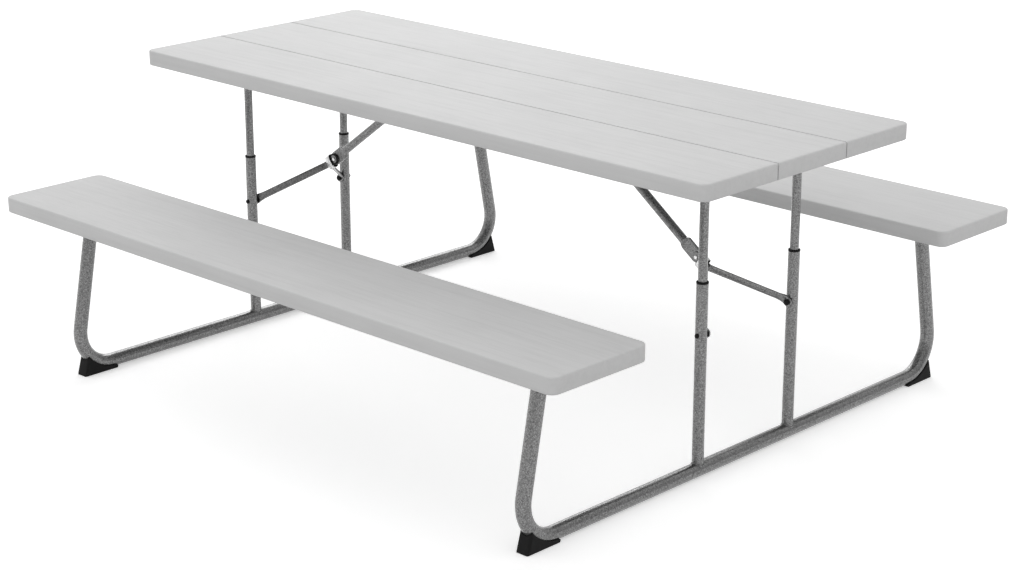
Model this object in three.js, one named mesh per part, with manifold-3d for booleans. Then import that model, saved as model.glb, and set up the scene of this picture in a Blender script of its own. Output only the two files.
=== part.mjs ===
// Folding table with two benches: a moulded plank top and two moulded seats on two tubular steel end frames.
// Millimetres, +Z up, +X along the length. The origin is on the floor under the middle of the table.
import * as THREE from 'three';
import { mergeVertices } from 'three/addons/utils/BufferGeometryUtils.js';
import Module from 'manifold-3d';

const wasm = await Module();
wasm.setup();

// Moulded panels
const TABLE_LENGTH = 1800;
const TABLE_WIDTH = 711;
const TABLE_HEIGHT = 730;
const BENCH_LENGTH = 1800;
const BENCH_WIDTH = 282;
const BENCH_HEIGHT = 441;
const BENCH_CENTRE_Y = 656;
const PANEL_THICKNESS = 37.5;
const PANEL_WALL = 3.2;
const PANEL_CORNER_R = 22;
const PANEL_EDGE_R = 3.5;
const PLANK_COUNT = 3;
const GROOVE_WIDTH = 2.6;
const GROOVE_DEPTH = 2;
const VENT_R = 1.5;

// End frames: a base tube bent up at both ends into the bench legs
const FRAME_INSET = 157.4;
const FRAME_TUBE_R = 16.8;
const FRAME_TUBE_WALL = 1.6;
const FRAME_BEND_R = 87.5;
const BASE_CLEARANCE = 1.2;
const LEG_TOP_Y = 659;
const LEG_LEAN = 0.1948;
const LEG_TUBE_DROP = 24;

// Telescopic uprights
const UPRIGHT_Y = 160;
const LOWER_TUBE_R = 13.3;
const UPPER_TUBE_R = 10.2;
const UPRIGHT_WALL = 1.5;
const LOWER_TUBE_TOP = 444.8;
const COLLAR_HEIGHT = 4.2;
const COLLAR_LIP = 0.4;
const COLLAR_SPIGOT = 25;
const PIVOT_TUBE_OVERHANG = 15;
const SLOT_END_MARGIN = 12;

// Folding axes: the depth of the leg and bench pivots under each panel
const PIVOT_DROP = 18.5;
const CLAMP_Y = 110;
const CLAMP_LENGTH = 24;
const CLAMP_FLANGE = 64;
const CLAMP_WALL = 3.2;

// Folding brace from the uprights to the underside of the table: two arms in a V, a knee, an upper tube
const BRACE_BOLT_Z = 329;
const BRACE_SLOPE = 0.739;
const ARM_REACH = 144.6;
const BRACE_R = 10.2;
const BRACE_WALL = 1.5;
const BRACE_TOP_END = 10;
const BLADE_HALF_WIDTH = 17;
const BLADE_HALF_THICKNESS = 3;
const BLADE_LENGTH = 40;
const BLADE_SHOULDER = 11;
const BLADE_TIP = 13;
const KNEE_BUSH_R = 8;
const ARM_R = 8.5;
const ARM_HALF_THICKNESS = 2.8;
const ARM_EYE_R = 11;
const ARM_EYE_LENGTH = 16;
const ARM_EYE_THICKNESS = 5;
const ARM_PAD_THICKNESS = 3.8;
const ARM_PAD_HALF_WIDTH = 9;
const ARM_PAD_LENGTH = 44;
const KNEE_EYE_R = 12.5;
const CLIP_LENGTH = 19;
const CLIP_HALF_WIDTH = 14;
const CLIP_WALL = 2.4;
const RIVET_HEAD_R = 6.5;
const RIVET_HEAD_HEIGHT = 3.4;
const RIVET_SHOULDER = 0.85;
const RIVET_CROWN = 0.5;
const BRACKET_WALL = 2.5;
const BRACKET_LENGTH = 44;
const BRACKET_FLANGE = 14;
const EAR_R = 12;

// Fasteners
const BOLT_R = 3.5;
const BOLT_HEAD_R = 5.5;
const BOLT_HEAD_HEIGHT = 4.4;
const CAP_NUT_R = 6.8;
const CAP_NUT_LENGTH = 6.5;
const CAP_NUT_BLIND = 2.5;
const CAP_NUT_CROWN = 0.6;

// Feet, measured from the middle of the bend
const FOOT_SIDE = 0.7;
const FOOT_REACH = 92.5;
const FOOT_NOSE_LEAN = 0.29;
const FOOT_NOSE_R = 5;
const FOOT_CUP = 8;
const FOOT_TIP = 6;
const FOOT_TIP_HEIGHT = 7.5;

// Bench pivots
const LUG_THICKNESS = 16;
const LUG_R = 14;
const LUG_PLUG_LENGTH = 30;
const LUG_FLANGE = 3;
const BENCH_PIN_R = 5;
const BENCH_PIN_PROUD = 2.2;
const RAIL_WALL = 3;
const RAIL_WEB = 2;
const RAIL_END = 15;
const RAIL_LIP = 11;

// Gap between pieces that touch or turn on each other
const GAP = 0.3;
const ROUND = 20;
const SMALL_ROUND = 12;
const CORNER_ROUND = 8;
const EDGE_ROUND = 3;

// Places that follow from the sizes above
const FRAME_X = TABLE_LENGTH / 2 - FRAME_INSET;
const TABLE_UNDERSIDE = TABLE_HEIGHT - PANEL_THICKNESS;
const BENCH_UNDERSIDE = BENCH_HEIGHT - PANEL_THICKNESS;
const LEG_PIVOT_Z = TABLE_UNDERSIDE - PIVOT_DROP;
const BENCH_PIVOT_Z = BENCH_UNDERSIDE - PIVOT_DROP;
const BASE_Z = BASE_CLEARANCE + FRAME_TUBE_R;
const BRACE_ANGLE = Math.atan(BRACE_SLOPE);
const BRACE_RISE = LEG_PIVOT_Z - BRACE_BOLT_Z;
const BRACE_RUN = BRACE_RISE / BRACE_SLOPE;
const ARM_LENGTH = ARM_REACH / Math.cos(BRACE_ANGLE);
const UPPER_BRACE_LENGTH = (BRACE_RUN - ARM_REACH) / Math.cos(BRACE_ANGLE);
// The uprights shorten until the folded knee lies flat along the table
const TELESCOPE_TRAVEL = BRACE_RISE - BRACE_RUN + UPPER_BRACE_LENGTH - ARM_LENGTH;
const BENCH_TRAVEL = LEG_PIVOT_Z - BENCH_PIVOT_Z - TELESCOPE_TRAVEL;
const SLOT_HALF_WIDTH = BOLT_R + 2 * GAP;
// Layers across the brace, from the middle outwards: upper brace, arm pads, clips
const PAD_IN = BRACE_R + 2 * GAP;
const PAD_OUT = PAD_IN + ARM_PAD_THICKNESS;
const CLIP_IN = PAD_OUT + GAP;
const CLIP_OUT = CLIP_IN + CLIP_WALL;
const ARM_EYE_OUT = UPRIGHT_Y - LOWER_TUBE_R - 2 * GAP;
const ARM_EYE_IN = ARM_EYE_OUT - ARM_EYE_THICKNESS;
const NUT_SEAT = ARM_EYE_IN - GAP;
const NUT_TIP = NUT_SEAT - CAP_NUT_LENGTH;

const FINISHES = {
  plank: { color: 0xcbcbc9, roughness: 0.55, metalness: 0 },
  frame: { color: 0x808182, roughness: 0.5, metalness: 0.3 },
  plastic: { color: 0x17171a, roughness: 0.6, metalness: 0 },
  zinc: { color: 0xc9cbcd, roughness: 0.3, metalness: 1 },
};

function solid(geometry) {
  const bare = geometry.index ? geometry.toNonIndexed() : geometry.clone();
  bare.deleteAttribute('normal');
  bare.deleteAttribute('uv');
  const merged = mergeVertices(bare, 1e-3);
  return new wasm.Manifold(new wasm.Mesh({
    numProp: 3,
    vertProperties: new Float32Array(merged.attributes.position.array),
    triVerts: new Uint32Array(merged.index.array),
  }));
}

function joined(pieces) {
  return pieces.reduce((whole, piece) => whole.add(piece));
}

function cut(whole, pieces) {
  return pieces.reduce((rest, piece) => rest.subtract(piece), whole);
}

function geometryOf(body) {
  const mesh = body.getMesh();
  const geometry = new THREE.BufferGeometry();
  geometry.setAttribute('position', new THREE.BufferAttribute(new Float32Array(mesh.vertProperties), 3));
  geometry.setIndex(new THREE.BufferAttribute(new Uint32Array(mesh.triVerts), 1));
  geometry.computeVertexNormals();
  return geometry;
}

function addPart(parent, name, finish, geometry) {
  const mesh = new THREE.Mesh(geometry, new THREE.MeshStandardMaterial(FINISHES[finish]));
  mesh.name = name;
  parent.add(mesh);
  return mesh;
}

// A block between two corners
function block(x0, x1, y0, y1, z0, z1) {
  const geometry = new THREE.BoxGeometry(x1 - x0, y1 - y0, z1 - z0);
  return geometry.translate((x0 + x1) / 2, (y0 + y1) / 2, (z0 + z1) / 2);
}

function discShape(outer, inner = 0) {
  const shape = new THREE.Shape();
  shape.absarc(0, 0, outer, 0, 2 * Math.PI, false);
  if (inner > 0) {
    const hole = new THREE.Path();
    hole.absarc(0, 0, inner, 0, 2 * Math.PI, true);
    shape.holes.push(hole);
  }
  return shape;
}

// A bar outline with round ends, from (0, 0) to (length, 0)
function barShape(length, halfWidth) {
  const shape = new THREE.Shape();
  shape.absarc(0, 0, halfWidth, Math.PI / 2, 1.5 * Math.PI, false);
  shape.absarc(length, 0, halfWidth, -Math.PI / 2, Math.PI / 2, false);
  shape.closePath();
  return shape;
}

function archShape(halfWidth, height) {
  const shape = new THREE.Shape();
  shape.absarc(0, 0, halfWidth, 0, Math.PI, false);
  shape.lineTo(-halfWidth, -height);
  shape.lineTo(halfWidth, -height);
  shape.closePath();
  return shape;
}

function roundedRectangle(length, width, radius) {
  const x = length / 2 - radius;
  const y = width / 2 - radius;
  const shape = new THREE.Shape();
  shape.absarc(x, y, radius, 0, Math.PI / 2, false);
  shape.absarc(-x, y, radius, Math.PI / 2, Math.PI, false);
  shape.absarc(-x, -y, radius, Math.PI, 1.5 * Math.PI, false);
  shape.absarc(x, -y, radius, 1.5 * Math.PI, 2 * Math.PI, false);
  shape.closePath();
  return shape;
}

function extruded(shape, depth, sides = ROUND) {
  return new THREE.ExtrudeGeometry(shape, { depth, bevelEnabled: false, curveSegments: sides / 2 });
}

// An outline drawn in X and Z, with its thickness along Y from y0 to y1
function slab(shape, y0, y1, sides = CORNER_ROUND) {
  return extruded(shape, y1 - y0, sides).rotateX(Math.PI / 2).translate(0, y1, 0);
}

// An outline drawn in Y and Z, with its thickness along X from x0 to x1
function crossSlab(shape, x0, x1, sides = CORNER_ROUND) {
  return extruded(shape, x1 - x0, sides).rotateX(Math.PI / 2).rotateZ(Math.PI / 2).translate(x0, 0, 0);
}

function rodAlongY(radius, y0, y1, x, z) {
  return slab(discShape(radius), y0, y1, ROUND).translate(x, 0, z);
}

function tubeAlongZ(outer, inner, z0, z1) {
  return extruded(discShape(outer, inner), z1 - z0).translate(0, 0, z0);
}

// A turned piece about Y from radius and height pairs
function turned(profile, sides = SMALL_ROUND) {
  return new THREE.LatheGeometry(profile.map(([r, y]) => new THREE.Vector2(r, y)), sides);
}

// A tube path in a plane of constant X, with stations only where the tube bends
class TubeRun extends THREE.Curve {
  constructor(stations) {
    super();
    this.stations = stations;
  }

  getSpacedPoints() {
    return this.stations.map((station) => station.point);
  }

  computeFrenetFrames() {
    const across = new THREE.Vector3(1, 0, 0);
    return {
      tangents: this.stations.map((station) => station.tangent),
      normals: this.stations.map(() => across),
      binormals: this.stations.map((station) => station.tangent.clone().cross(across)),
    };
  }
}

function sweptTube(stations, outer, inner) {
  return new THREE.ExtrudeGeometry(discShape(outer, inner), {
    steps: stations.length - 1,
    extrudePath: new TubeRun(stations),
    bevelEnabled: false,
    curveSegments: ROUND / 2,
  });
}

// Hollow moulded panel with rounded edges and a vent in its underside
function panel(length, width) {
  const skin = new THREE.ExtrudeGeometry(roundedRectangle(length, width, PANEL_CORNER_R), {
    depth: PANEL_THICKNESS - 2 * PANEL_EDGE_R,
    bevelEnabled: true,
    bevelThickness: PANEL_EDGE_R,
    bevelSize: PANEL_EDGE_R,
    bevelOffset: -PANEL_EDGE_R,
    bevelSegments: EDGE_ROUND,
    curveSegments: EDGE_ROUND,
  }).translate(0, 0, PANEL_EDGE_R);
  const both = 2 * PANEL_WALL;
  const inside = roundedRectangle(length - both, width - both, PANEL_CORNER_R - PANEL_WALL);
  const cavity = extruded(inside, PANEL_THICKNESS - both, 2 * EDGE_ROUND).translate(0, 0, PANEL_WALL);
  const vent = tubeAlongZ(VENT_R, 0, -PANEL_WALL, 2 * PANEL_WALL);
  return cut(solid(skin), [solid(cavity), solid(vent)]);
}

// V grooves between the planks run along the top and wrap down over both ends
function tableTop() {
  const plank = TABLE_WIDTH / PLANK_COUNT;
  const vee = new THREE.Shape();
  vee.moveTo(0, -GROOVE_DEPTH);
  vee.lineTo(GROOVE_WIDTH, GROOVE_DEPTH);
  vee.lineTo(-GROOVE_WIDTH, GROOVE_DEPTH);
  vee.closePath();
  const grooves = [];
  for (let line = 1; line < PLANK_COUNT; line += 1) {
    const y = line * plank - TABLE_WIDTH / 2;
    grooves.push(crossSlab(vee, -TABLE_LENGTH, TABLE_LENGTH).translate(0, y, PANEL_THICKNESS));
    for (const end of [-1, 1]) {
      const upright = crossSlab(vee, -2 * PANEL_THICKNESS, 2 * PANEL_THICKNESS).rotateY(-Math.PI / 2);
      upright.rotateZ(end > 0 ? Math.PI : 0).translate(end * TABLE_LENGTH / 2, y, 0);
      grooves.push(upright);
    }
  }
  return cut(panel(TABLE_LENGTH, TABLE_WIDTH), grooves.map(solid));
}

// The base tube with its two bends and bench legs, in the plane of the frame
function framePath() {
  const stations = [];
  const bendSteps = 8;
  const lean = Math.atan(LEG_LEAN);
  const turn = Math.PI / 2 + lean;
  const cornerY = LEG_TOP_Y + (BENCH_PIVOT_Z - BASE_Z) * LEG_LEAN;
  const bendCentre = { y: cornerY - FRAME_BEND_R * Math.tan(turn / 2), z: BASE_Z + FRAME_BEND_R };
  const legTop = {
    y: LEG_TOP_Y + LEG_TUBE_DROP * Math.sin(lean),
    z: BENCH_PIVOT_Z - LEG_TUBE_DROP * Math.cos(lean),
  };
  const add = (y, z, ty, tz) => stations.push({
    point: new THREE.Vector3(0, y, z),
    tangent: new THREE.Vector3(0, ty, tz),
  });
  add(-legTop.y, legTop.z, -Math.sin(lean), -Math.cos(lean));
  for (let step = 0; step <= bendSteps; step += 1) {
    const angle = Math.PI - lean + (step / bendSteps) * turn;
    const y = -bendCentre.y + FRAME_BEND_R * Math.cos(angle);
    const z = bendCentre.z + FRAME_BEND_R * Math.sin(angle);
    add(y, z, -Math.sin(angle), Math.cos(angle));
  }
  for (const { point, tangent } of [...stations].reverse()) {
    add(-point.y, point.z, tangent.y, -tangent.z);
  }
  return { stations, bendCentre, legTop, lean };
}

const FRAME_PATH = framePath();

function baseTube() {
  return sweptTube(FRAME_PATH.stations, FRAME_TUBE_R, FRAME_TUBE_R - FRAME_TUBE_WALL);
}

// Plan of the foot, with a rounded nose, drawn out along the lean of the nose
function footBlock(halfWidth) {
  const { bendCentre } = FRAME_PATH;
  const tail = bendCentre.y - FOOT_TIP;
  const nose = bendCentre.y + FOOT_REACH;
  const cornerX = halfWidth - FOOT_NOSE_R;
  const cornerY = nose - FOOT_NOSE_R;
  const plan = new THREE.Shape();
  plan.moveTo(-halfWidth, tail);
  plan.lineTo(halfWidth, tail);
  plan.lineTo(halfWidth, cornerY);
  plan.absarc(cornerX, cornerY, FOOT_NOSE_R, 0, Math.PI / 2, false);
  plan.lineTo(-cornerX, nose);
  plan.absarc(-cornerX, cornerY, FOOT_NOSE_R, Math.PI / 2, Math.PI, false);
  plan.closePath();
  const lean = new THREE.Matrix4().makeShear(0, 0, 0, 0, 0, -FOOT_NOSE_LEAN);
  return extruded(plan, bendCentre.z, CORNER_ROUND).applyMatrix4(lean);
}

// Wedge foot that cups the outside of the bend and stands flat on the floor
function foot() {
  const { bendCentre, stations } = FRAME_PATH;
  const cupR = FRAME_BEND_R + FOOT_CUP;
  const halfWidth = FRAME_TUBE_R + FOOT_SIDE;
  const tail = bendCentre.y - 2 * FOOT_TIP;
  const front = bendCentre.y + 2 * FOOT_REACH;
  const tipRise = (bendCentre.z - cupR - FOOT_TIP_HEIGHT) / FOOT_TIP;
  const outline = new THREE.Shape();
  outline.moveTo(tail, -FOOT_TIP);
  outline.lineTo(front, -FOOT_TIP);
  outline.lineTo(front, bendCentre.z);
  outline.absarc(bendCentre.y, bendCentre.z, cupR, 0, -Math.PI / 2, true);
  outline.lineTo(tail, bendCentre.z - cupR - 2 * FOOT_TIP * tipRise);
  outline.closePath();
  const bed = sweptTube(stations, FRAME_TUBE_R + GAP, 0);
  const wedge = solid(crossSlab(outline, -2 * halfWidth, 2 * halfWidth));
  return solid(footBlock(halfWidth)).intersect(wedge).subtract(solid(bed));
}

// Lower upright: coped onto the base tube and drilled for the brace bolt
function lowerUpright() {
  const reach = 2 * LOWER_TUBE_R;
  const tube = tubeAlongZ(LOWER_TUBE_R, LOWER_TUBE_R - UPRIGHT_WALL, BASE_Z, LOWER_TUBE_TOP);
  const saddle = rodAlongY(FRAME_TUBE_R + GAP, -reach, reach, 0, BASE_Z);
  const hole = rodAlongY(BOLT_R + GAP, -reach, reach, 0, BRACE_BOLT_Z);
  return cut(solid(tube), [solid(saddle), solid(hole)]).translate([0, UPRIGHT_Y, 0]);
}

// Slide collar: a thin lip on the lower tube with a spigot between the two tubes
function slideCollar() {
  const lip = LOWER_TUBE_R + COLLAR_LIP;
  const bore = UPPER_TUBE_R + GAP;
  const spigot = LOWER_TUBE_R - UPRIGHT_WALL - GAP;
  const bottom = LOWER_TUBE_TOP - COLLAR_SPIGOT;
  const seat = LOWER_TUBE_TOP + GAP;
  return turned([
    [bore, bottom], [spigot, bottom], [spigot, seat], [lip, seat],
    [lip, seat + COLLAR_HEIGHT], [bore, seat + COLLAR_HEIGHT], [bore, bottom],
  ], ROUND).rotateX(Math.PI / 2).translate(0, UPRIGHT_Y, 0);
}

// Pivot tube: it turns in the clamps and carries the two upper uprights
function pivotTube() {
  const end = UPRIGHT_Y + PIVOT_TUBE_OVERHANG;
  const ring = discShape(UPPER_TUBE_R, UPPER_TUBE_R - UPRIGHT_WALL);
  return slab(ring, -end, end, ROUND).translate(0, 0, LEG_PIVOT_Z);
}

// Upper upright: coped under the pivot tube, slotted so that the brace bolt stops its slide
function upperUpright() {
  const reach = 2 * UPPER_TUBE_R;
  const bottom = BRACE_BOLT_Z - SLOT_HALF_WIDTH - SLOT_END_MARGIN;
  const tube = tubeAlongZ(UPPER_TUBE_R, UPPER_TUBE_R - UPRIGHT_WALL, bottom, LEG_PIVOT_Z);
  const saddle = rodAlongY(UPPER_TUBE_R + GAP, -reach, reach, 0, LEG_PIVOT_Z);
  const slot = slab(barShape(TELESCOPE_TRAVEL, SLOT_HALF_WIDTH), -reach, reach);
  slot.rotateY(-Math.PI / 2).translate(0, 0, BRACE_BOLT_Z);
  return cut(solid(tube), [solid(saddle), solid(slot)]).translate([0, UPRIGHT_Y, 0]);
}

// Brace bolt: its head is outside the upright and its thread ends in the cap nut
function armBolt() {
  const end = NUT_TIP + CAP_NUT_BLIND + GAP;
  const seat = UPRIGHT_Y + LOWER_TUBE_R + GAP;
  const top = seat + BOLT_HEAD_HEIGHT;
  return turned([
    [0, end], [BOLT_R, end], [BOLT_R, seat], [BOLT_HEAD_R, seat],
    [BOLT_HEAD_R, seat + BOLT_HEAD_HEIGHT / 2], [BOLT_R, top], [0, top],
  ]).translate(0, 0, BRACE_BOLT_Z);
}

function capNut() {
  const bore = BOLT_R + GAP;
  const blind = NUT_TIP + CAP_NUT_BLIND;
  return turned([
    [0, NUT_TIP], [CAP_NUT_R * CAP_NUT_CROWN, NUT_TIP], [CAP_NUT_R, blind], [CAP_NUT_R, NUT_SEAT],
    [bore, NUT_SEAT], [bore, blind], [0, blind],
  ]).translate(0, 0, BRACE_BOLT_Z);
}

// Lug in the top of a bench leg, with the pin that rides in the bench rail
function benchLug() {
  const { lean, legTop } = FRAME_PATH;
  const plugR = FRAME_TUBE_R - FRAME_TUBE_WALL - GAP;
  const pinEnd = LUG_THICKNESS / 2 + BENCH_PIN_PROUD;
  const seat = [0, legTop.y, legTop.z];
  const pivot = [0, LEG_TOP_Y, BENCH_PIVOT_Z];
  const plug = solid(tubeAlongZ(plugR, 0, -LUG_PLUG_LENGTH, GAP + LUG_FLANGE / 2).rotateX(lean));
  const flange = solid(tubeAlongZ(FRAME_TUBE_R, 0, GAP, GAP + LUG_FLANGE).rotateX(lean));
  const below = solid(tubeAlongZ(2 * FRAME_TUBE_R, 0, -LUG_PLUG_LENGTH, GAP).rotateX(lean));
  const tongue = solid(slab(archShape(LUG_R, LEG_TUBE_DROP), -LUG_THICKNESS / 2, LUG_THICKNESS / 2));
  const pin = solid(rodAlongY(BENCH_PIN_R, -pinEnd, pinEnd, 0, 0));
  const upper = tongue.add(pin).translate(pivot).subtract(below.translate(seat));
  return joined([upper, plug.translate(seat), flange.translate(seat)]);
}

// Bench rail: a slotted channel under the seat, in which the pin slides inwards as the frame folds
function benchRail() {
  const inner = LUG_THICKNESS / 2 + BENCH_PIN_PROUD + GAP;
  const outer = inner + RAIL_WALL;
  const top = BENCH_UNDERSIDE - GAP;
  const bottom = BENCH_PIVOT_Z - RAIL_LIP;
  const section = new THREE.Shape();
  section.moveTo(-outer, bottom);
  section.lineTo(-inner, bottom);
  section.lineTo(-inner, top - RAIL_WEB);
  section.lineTo(inner, top - RAIL_WEB);
  section.lineTo(inner, bottom);
  section.lineTo(outer, bottom);
  section.lineTo(outer, top);
  section.lineTo(-outer, top);
  section.closePath();
  const channel = crossSlab(section, -BENCH_TRAVEL - RAIL_END, RAIL_END);
  const slot = slab(barShape(BENCH_TRAVEL, BENCH_PIN_R + 2 * GAP), -2 * outer, 2 * outer);
  slot.translate(-BENCH_TRAVEL, 0, BENCH_PIVOT_Z);
  return solid(channel).subtract(solid(slot));
}

// Clamp that holds the pivot tube under the table and lets it turn
function pivotClamp() {
  const bore = UPPER_TUBE_R + GAP;
  const outer = bore + CLAMP_WALL;
  const top = PIVOT_DROP - GAP;
  const flange = top - CLAMP_WALL;
  const outline = new THREE.Shape();
  outline.moveTo(CLAMP_FLANGE / 2, flange);
  outline.lineTo(CLAMP_FLANGE / 2, top);
  outline.lineTo(-CLAMP_FLANGE / 2, top);
  outline.lineTo(-CLAMP_FLANGE / 2, flange);
  outline.lineTo(-outer, flange);
  outline.absarc(0, 0, outer, Math.PI, 2 * Math.PI, false);
  outline.lineTo(outer, flange);
  outline.closePath();
  outline.holes.push(new THREE.Path().absarc(0, 0, bore, 0, 2 * Math.PI, true));
  return slab(outline, -CLAMP_LENGTH / 2, CLAMP_LENGTH / 2, ROUND).translate(0, 0, LEG_PIVOT_Z);
}

// Bracket under the table for the top of the brace, with its headed pin
function braceBracket() {
  const earIn = BRACE_R + 2 * GAP;
  const earOut = earIn + BRACKET_WALL;
  const headEnd = earOut + BOLT_HEAD_HEIGHT;
  const halfWidth = earOut + BRACKET_FLANGE;
  const top = PIVOT_DROP - GAP;
  const ear = archShape(EAR_R, top - BRACKET_WALL / 2);
  const pieces = [
    block(-BRACKET_LENGTH / 2, BRACKET_LENGTH / 2, -halfWidth, halfWidth, top - BRACKET_WALL, top),
    slab(ear, earIn, earOut).rotateX(Math.PI),
    slab(ear, -earOut, -earIn).rotateX(Math.PI),
    rodAlongY(BOLT_R, -headEnd, headEnd, 0, 0),
    rodAlongY(BOLT_HEAD_R, earOut, headEnd, 0, 0),
    rodAlongY(BOLT_HEAD_R, -headEnd, -earOut, 0, 0),
  ];
  return joined(pieces.map(solid)).translate([0, 0, LEG_PIVOT_Z]);
}

// Upper brace: a tube along +X from its top pin, flattened to a blade with a bush at the knee
function upperBrace() {
  const bladeStart = UPPER_BRACE_LENGTH - BLADE_LENGTH;
  const shoulder = bladeStart - BLADE_SHOULDER;
  const reach = 2 * BRACE_R;
  const shoulderSteps = 4;
  const lengths = [-BRACE_TOP_END];
  for (let step = 0; step <= shoulderSteps; step += 1) {
    lengths.push(shoulder + (step / shoulderSteps) * BLADE_SHOULDER);
  }
  lengths.push(UPPER_BRACE_LENGTH + BLADE_HALF_WIDTH);
  const bar = new THREE.ExtrudeGeometry(discShape(BRACE_R), {
    steps: lengths.length - 1,
    depth: lengths.length - 1,
    bevelEnabled: false,
    curveSegments: ROUND / 2,
  });
  const place = bar.attributes.position;
  for (let i = 0; i < place.count; i += 1) {
    const along = lengths[Math.round(place.getZ(i))];
    const flat = THREE.MathUtils.smoothstep(along, shoulder, bladeStart);
    const across = THREE.MathUtils.lerp(1, BLADE_HALF_THICKNESS / BRACE_R, flat);
    const wide = THREE.MathUtils.lerp(1, BLADE_HALF_WIDTH / BRACE_R, flat);
    place.setXYZ(i, along, place.getY(i) * across, -place.getX(i) * wide);
  }
  const tipLength = UPPER_BRACE_LENGTH + BLADE_TIP - BLADE_HALF_WIDTH + BRACE_TOP_END;
  const rounding = slab(barShape(tipLength, BLADE_HALF_WIDTH), -reach, reach).translate(-BRACE_TOP_END, 0, 0);
  const bush = rodAlongY(KNEE_BUSH_R, -BRACE_R, BRACE_R, UPPER_BRACE_LENGTH, 0);
  const bore = tubeAlongZ(BRACE_R - BRACE_WALL, 0, -2 * BRACE_TOP_END, shoulder).rotateY(Math.PI / 2);
  const pinHole = rodAlongY(BOLT_R + GAP, -reach, reach, 0, 0);
  const kneeHole = rodAlongY(BOLT_R + GAP, -reach, reach, UPPER_BRACE_LENGTH, 0);
  const blade = solid(bar).intersect(solid(rounding)).add(solid(bush));
  return cut(blade, [solid(bore), solid(pinHole), solid(kneeHole)]);
}

// The arms lie along +X from the bolt on the upright to the knee, on the +Y side of the brace.
// Each is a tube pressed flat, standing on edge
function wishboneArm() {
  const padStart = ARM_LENGTH - ARM_PAD_LENGTH;
  const padShape = barShape(ARM_PAD_LENGTH - ARM_PAD_HALF_WIDTH, ARM_PAD_HALF_WIDTH);
  const pad = slab(padShape, PAD_IN, PAD_OUT).translate(padStart + ARM_PAD_HALF_WIDTH, 0, 0);
  const kneeEye = rodAlongY(KNEE_EYE_R, PAD_IN, PAD_OUT, ARM_LENGTH, 0);
  const boltEye = slab(barShape(ARM_EYE_LENGTH, ARM_EYE_R), ARM_EYE_IN, ARM_EYE_OUT);
  const from = new THREE.Vector3(ARM_EYE_LENGTH, ARM_EYE_OUT - ARM_HALF_THICKNESS, 0);
  const to = new THREE.Vector3(padStart + ARM_PAD_HALF_WIDTH, PAD_OUT + ARM_HALF_THICKNESS / 2, 0);
  const axis = to.clone().sub(from);
  const tube = new THREE.CylinderGeometry(ARM_R, ARM_R, axis.length(), ROUND);
  tube.scale(ARM_HALF_THICKNESS / ARM_R, 1, 1);
  const slant = new THREE.Quaternion();
  slant.setFromUnitVectors(new THREE.Vector3(0, 1, 0), axis.normalize());
  tube.applyQuaternion(slant);
  tube.translate((from.x + to.x) / 2, (from.y + to.y) / 2, 0);
  const boltHole = rodAlongY(BOLT_R + GAP, ARM_EYE_IN - ARM_R, ARM_EYE_OUT + ARM_R, 0, 0);
  const kneeHole = rodAlongY(BOLT_R + GAP, 0, 2 * PAD_OUT, ARM_LENGTH, 0);
  return cut(joined([pad, kneeEye, boltEye, tube].map(solid)), [solid(boltHole), solid(kneeHole)]);
}

// Bright clip folded round the pad of an arm beside the knee
function kneeClip() {
  const end = ARM_LENGTH - KNEE_EYE_R - GAP;
  const start = end - CLIP_LENGTH;
  const inside = CLIP_HALF_WIDTH - CLIP_WALL;
  const shell = solid(block(start, end, PAD_IN, CLIP_OUT, -CLIP_HALF_WIDTH, CLIP_HALF_WIDTH));
  return shell.subtract(solid(block(start - 1, end + 1, 0, CLIP_IN, -inside, inside)));
}

function kneeRivet() {
  const seat = PAD_OUT + GAP;
  const top = seat + RIVET_HEAD_HEIGHT;
  return turned([
    [0, PAD_IN], [BOLT_R, PAD_IN], [BOLT_R, seat], [RIVET_HEAD_R, seat],
    [RIVET_HEAD_R * RIVET_SHOULDER, (seat + top) / 2], [RIVET_HEAD_R * RIVET_CROWN, top], [0, top],
  ]).translate(ARM_LENGTH, 0, 0);
}

// Assembly
const assembly = new THREE.Group();
assembly.name = 'folding_table_with_benches';

addPart(assembly, 'table_top', 'plank', geometryOf(tableTop())).position.z = TABLE_UNDERSIDE;
for (const [name, side] of [['near', -1], ['far', 1]]) {
  const bench = addPart(assembly, `bench_${name}`, 'plank', geometryOf(panel(BENCH_LENGTH, BENCH_WIDTH)));
  bench.position.set(0, side * BENCH_CENTRE_Y, BENCH_UNDERSIDE);
}

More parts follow.
